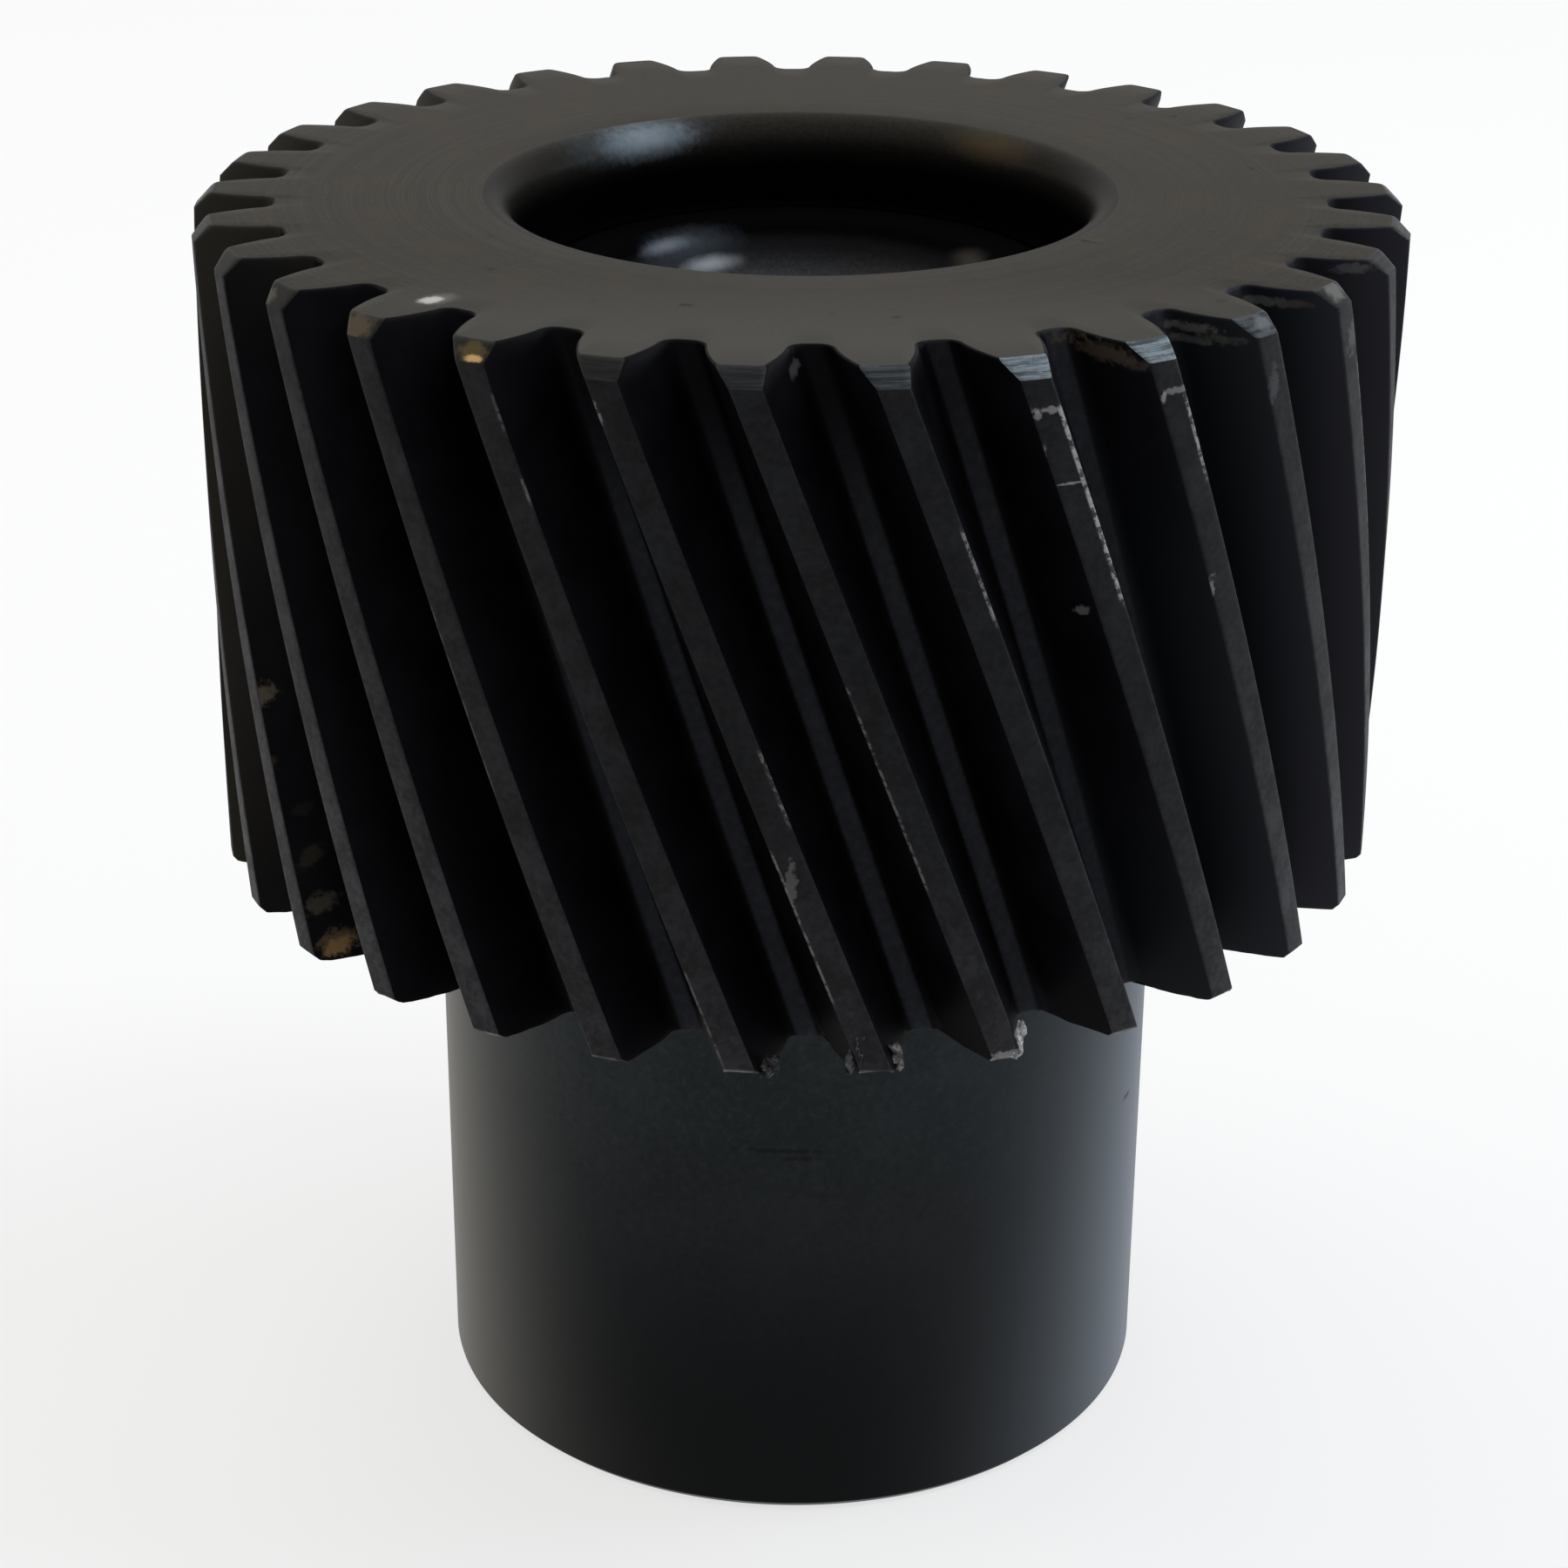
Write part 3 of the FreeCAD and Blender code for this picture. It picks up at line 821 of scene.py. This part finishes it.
def make_ring():
    """The toothed ring as one closed mesh: up the teeth, over the face and lip, down the seat."""
    loops = []
    groups = []

    def add(loop, kind):
        loops.append(loop)
        groups.append(kind)

    side = tooth_kinds()
    chamfered = [CHAMFER if kind == LAND else kind for kind in side]
    for step in range(ROUND_STEPS):
        turn = step / ROUND_STEPS * QUARTER_TURN
        z = RING_BOTTOM_Z + FACE_EDGE * (1 - math.cos(turn))
        add(ragged(outline_at(z, FACE_EDGE * (1 - math.sin(turn)))), side)
    add(outline_at(RING_BOTTOM_Z + FACE_EDGE, 0.0), side)
    sweep_low = RING_BOTTOM_Z + LOWER_TOOTH_CHAMFER
    sweep_high = TOP_Z - UPPER_TOOTH_CHAMFER
    for step in range(SWEEP_STEPS):
        add(outline_at(sweep_low + (sweep_high - sweep_low) * step / SWEEP_STEPS, 0.0), side)
    for step in range(CHAMFER_STEPS):
        z = sweep_high + (TOP_Z - TOP_FACE_EDGE - sweep_high) * step / CHAMFER_STEPS
        add(outline_at(z, 0.0), chamfered)
    for step in range(ROUND_STEPS):
        turn = step / ROUND_STEPS * QUARTER_TURN
        z = TOP_Z - TOP_FACE_EDGE * (1 - math.sin(turn))
        add(outline_at(z, TOP_FACE_EDGE * (1 - math.cos(turn))), chamfered)

    rim = outline_at(TOP_Z, TOP_FACE_EDGE)
    angles = np.arctan2(rim[:, 1], rim[:, 0])
    add(rim, FACE)
    for loop in between(rim, circle(RECESS_RADIUS + RECESS_LIP, TOP_Z, angles), FACE_STEPS):
        add(loop, FACE)
    for step in range(LIP_STEPS):
        turn = step / LIP_STEPS * QUARTER_TURN
        radius = RECESS_RADIUS + RECESS_LIP * (1 - math.sin(turn))
        add(circle(radius, TOP_Z - RECESS_LIP * (1 - math.cos(turn)), angles), LIP)
    wall_top = circle(RECESS_RADIUS, TOP_Z - RECESS_LIP, angles)
    floor_out = circle(RECESS_RADIUS, SPIGOT_TOP_Z, angles)
    floor_in = circle(SEAT_RADIUS, SPIGOT_TOP_Z, angles)
    seat_bottom = circle(SEAT_RADIUS, RING_BOTTOM_Z, angles)
    foot = ragged(outline_at(RING_BOTTOM_Z, FACE_EDGE))
    for first, last, kind in ((wall_top, floor_out, LIP), (floor_out, floor_in, LIP),
                              (floor_in, seat_bottom, LIP), (seat_bottom, foot, UNDER)):
        add(first, kind)
        for loop in between(first, last, WALL_STEPS):
            add(loop, kind)
    materials = [turned_face_material(), tooth_space_material(), land_material(), lip_material(),
                 barrel_material(), chamfer_material()]
    ring = closed_mesh("gear_ring", loops, groups, materials)
    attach(ring, "root")
    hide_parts("toothed_ring")


def make_burr(name, azimuth, height, radius, width, length, lean, material):
    """A small torn flake that the cutter left on a tooth's lower corner. Sizes in mm."""
    turn = FRONT + math.radians(azimuth)
    out = np.array((math.cos(turn), math.sin(turn), 0.0))
    side = np.array((-math.sin(turn), math.cos(turn), 0.0))
    up = np.array((0.0, 0.0, 1.0))
    centre = out * radius + up * height
    points = []
    for thick in (-0.5, 0.5):
        for row in range(BURR_ROWS):
            for column in range(BURR_COLUMNS):
                u = column / (BURR_COLUMNS - 1) - 0.5
                v = row / (BURR_ROWS - 1) - 0.5
                narrow = 1.0 - 1.5 * abs(v)**1.6 + 0.16 * math.sin(9.0 * v + 4.0 * azimuth)
                fold = 0.22 * math.sin(7.0 * u + 11.0 * v + azimuth)
                point = centre + side * (u * narrow * width + lean * v * length) + up * (v * length)
                points.append(tuple((point + out * (fold * width + thick * BURR_THICKNESS)) * MM))
    count = BURR_COLUMNS * BURR_ROWS
    faces = []
    for row in range(BURR_ROWS - 1):
        for column in range(BURR_COLUMNS - 1):
            a = row * BURR_COLUMNS + column
            b = a + BURR_COLUMNS
            faces.append((a, b, b + 1, a + 1))
            faces.append((count + a, count + a + 1, count + b + 1, count + b))
    grid = np.arange(count).reshape(BURR_ROWS, BURR_COLUMNS)
    rim = np.concatenate((grid[:, 0], grid[-1, 1:], grid[-2::-1, -1], grid[0, -2:0:-1])).tolist()
    for a, b in zip(rim, rim[1:] + rim[:1]):
        faces.append((a, count + a, count + b, b))
    burr = add_object(name, points, faces, [material])
    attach(burr, "root")


def make_burrs():
    """The burrs on the lower ends of five teeth."""
    bare = burr_material("torn_steel", (0.15, 0.15, 0.155), (0.48, 0.48, 0.49))
    worn = burr_material("worn_burr", (0.06, 0.06, 0.06), (0.22, 0.22, 0.22))
    dull = burr_material("blackened_burr", (0.012, 0.012, 0.013), (0.070, 0.070, 0.074))
    make_burr("burr_1", 8.9, 36.6, 33.1, 1.2, 1.5, -0.1, worn)
    make_burr("burr_2", 20.3, 37.1, 33.7, 0.7, 2.1, 0.12, bare)
    make_burr("burr_3", 44.0, 36.5, 33.4, 0.5, 0.9, -0.2, dull)
    make_burr("burr_4", -2.2, 36.3, 33.2, 1.1, 1.2, 0.35, dull)
    make_burr("burr_5", 5.3, 37.2, 33.7, 0.8, 2.2, 0.25, dull)


# ---------------------------------------------------------------- the hub

BARREL, BORE = range(2)


def make_hub():
    """The hub as one closed mesh, turned from its profile: out along its end, up, down the bore."""
    corner = 0.3 * HUB_EDGE
    profile = [
        (BORE_RADIUS + BORE_END_CHAMFER, FLOOR_Z, BARREL),
        (HUB_RADIUS - HUB_END_CHAMFER, FLOOR_Z, BARREL),
        (HUB_RADIUS - corner, FLOOR_Z + HUB_END_CHAMFER - corner, BARREL),
        (HUB_RADIUS, FLOOR_Z + HUB_END_CHAMFER + HUB_EDGE, BARREL),
        (HUB_RADIUS, RING_BOTTOM_Z - HUB_EDGE, BARREL),
        (HUB_RADIUS - HUB_EDGE, RING_BOTTOM_Z, BARREL),
        (SEAT_RADIUS, RING_BOTTOM_Z, BARREL),
        (SEAT_RADIUS, SPIGOT_TOP_Z - SPIGOT_CHAMFER, BORE),
        (SEAT_RADIUS - SPIGOT_CHAMFER, SPIGOT_TOP_Z, BORE),
    ]
    centre_radius, centre_z = BORE_RADIUS + BORE_EDGE, SPIGOT_TOP_Z - BORE_EDGE
    for step in range(BORE_EDGE_STEPS):
        turn = math.radians(90 + 90 * step / BORE_EDGE_STEPS)
        radius = centre_radius + BORE_EDGE * math.cos(turn)
        profile.append((radius, centre_z + BORE_EDGE * math.sin(turn), BORE))
    profile += [
        (BORE_RADIUS, SPIGOT_TOP_Z - BORE_EDGE, BORE),
        (BORE_RADIUS, FLOOR_Z + BORE_END_CHAMFER, BORE),
    ]
    angles = np.arange(HUB_POINTS) * 2 * math.pi / HUB_POINTS
    loops = [circle(radius, z, angles) for radius, z, _ in profile]
    groups = [kind for _, _, kind in profile]
    hub = closed_mesh("gear_hub", loops, groups, [barrel_material(), bore_material()])
    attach(hub, "root")
    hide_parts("hub")


# ---------------------------------------------------------------- floor, world and lamps

def make_floor():
    """A pale floor that the camera sees as near white, with the gear's soft shadow on it."""
    s = Shade("pale_floor")
    diffuse = s.tree.nodes.new("ShaderNodeBsdfDiffuse")
    diffuse.inputs["Color"].default_value = (FLOOR_GREY, FLOOR_GREY, FLOOR_GREY, 1.0)
    glow = s.tree.nodes.new("ShaderNodeEmission")
    glow.inputs["Color"].default_value = (*WHITE, 1.0)
    path = s.tree.nodes.new("ShaderNodeLightPath")
    seen = s.math("MAXIMUM", path.outputs["Is Camera Ray"], path.outputs["Is Glossy Ray"])
    mix = s.tree.nodes.new("ShaderNodeMixShader")
    s.link(s.math("MULTIPLY", seen, FLOOR_GLOW), mix.inputs[0])
    s.link(diffuse.outputs[0], mix.inputs[1])
    s.link(glow.outputs[0], mix.inputs[2])
    s.link(mix.outputs[0], s.output.inputs["Surface"])
    corners = [(x * FLOOR_HALF, y * FLOOR_HALF, FLOOR_Z)
               for x, y in ((-1, -1), (1, -1), (1, 1), (-1, 1))]
    floor = add_object("floor", corners, [(0, 1, 2, 3)], [s.material])


def make_world():
    """White where it is seen directly or mirrored, and a dimmer even light on everything."""
    world = bpy.data.worlds.new("studio")
    bpy.context.scene.world = world
    world.use_nodes = True
    tree = world.node_tree
    tree.nodes.clear()
    output = tree.nodes.new("ShaderNodeOutputWorld")
    path = tree.nodes.new("ShaderNodeLightPath")
    seen = path.outputs["Is Camera Ray"]
    for name in ("Is Glossy Ray", "Is Transmission Ray"):
        either = tree.nodes.new("ShaderNodeMath")
        either.operation = "MAXIMUM"
        tree.links.new(seen, either.inputs[0])
        tree.links.new(path.outputs[name], either.inputs[1])
        seen = either.outputs[0]
    mix = tree.nodes.new("ShaderNodeMixShader")
    tree.links.new(seen, mix.inputs[0])
    for socket, strength in zip(mix.inputs[1:], (AMBIENT, 1.0)):
        background = tree.nodes.new("ShaderNodeBackground")
        background.inputs["Color"].default_value = (*WHITE, 1.0)
        background.inputs["Strength"].default_value = strength
        tree.links.new(background.outputs[0], socket)
    tree.links.new(mix.outputs[0], output.inputs["Surface"])


def make_lamp(name, place, target, size, power, color):
    """A soft square lamp that faces its target."""
    data = bpy.data.lights.new(name, "AREA")
    data.shape = "RECTANGLE"
    data.size, data.size_y = size
    data.energy = power
    data.color = color
    lamp = bpy.data.objects.new(name, data)
    direction = Vector(target) - Vector(place)
    turn = direction.to_track_quat("-Z", "Y").to_matrix().to_4x4()
    lamp.matrix_world = Matrix.Translation(place) @ turn
    bpy.context.scene.collection.objects.link(lamp)


def make_lamps():
    """A cool key light from the upper right, a warm one from the left, and three to fill in."""
    middle = (0.0, 0.0, TOP_Z)
    low = (0.0, 0.0, RING_BOTTOM_Z)
    make_lamp("lamp_key", (0.42, 0.0, 0.70), middle, (0.28, 0.50), 2.4, (0.88, 0.95, 1.0))
    make_lamp("lamp_warm", (-0.56, 0.09, 0.60), middle, (0.35, 0.35), 0.6, (1.0, 0.86, 0.68))
    make_lamp("lamp_right", (0.85, 0.20, 0.14), low, (0.35, 0.35), 3.5, (0.76, 0.88, 1.0))
    make_lamp("lamp_left", (-0.85, 0.20, 0.14), low, (0.35, 0.35), 1.2, (1.0, 0.98, 0.90))
    make_lamp("lamp_top", (-0.1, 0.35, 0.80), middle, (0.6, 0.6), 1.4, WHITE)


make_ring()
make_burrs()
make_hub()
make_floor()
make_world()
make_lamps()
bpy.context.scene.view_settings.view_transform = "Standard"
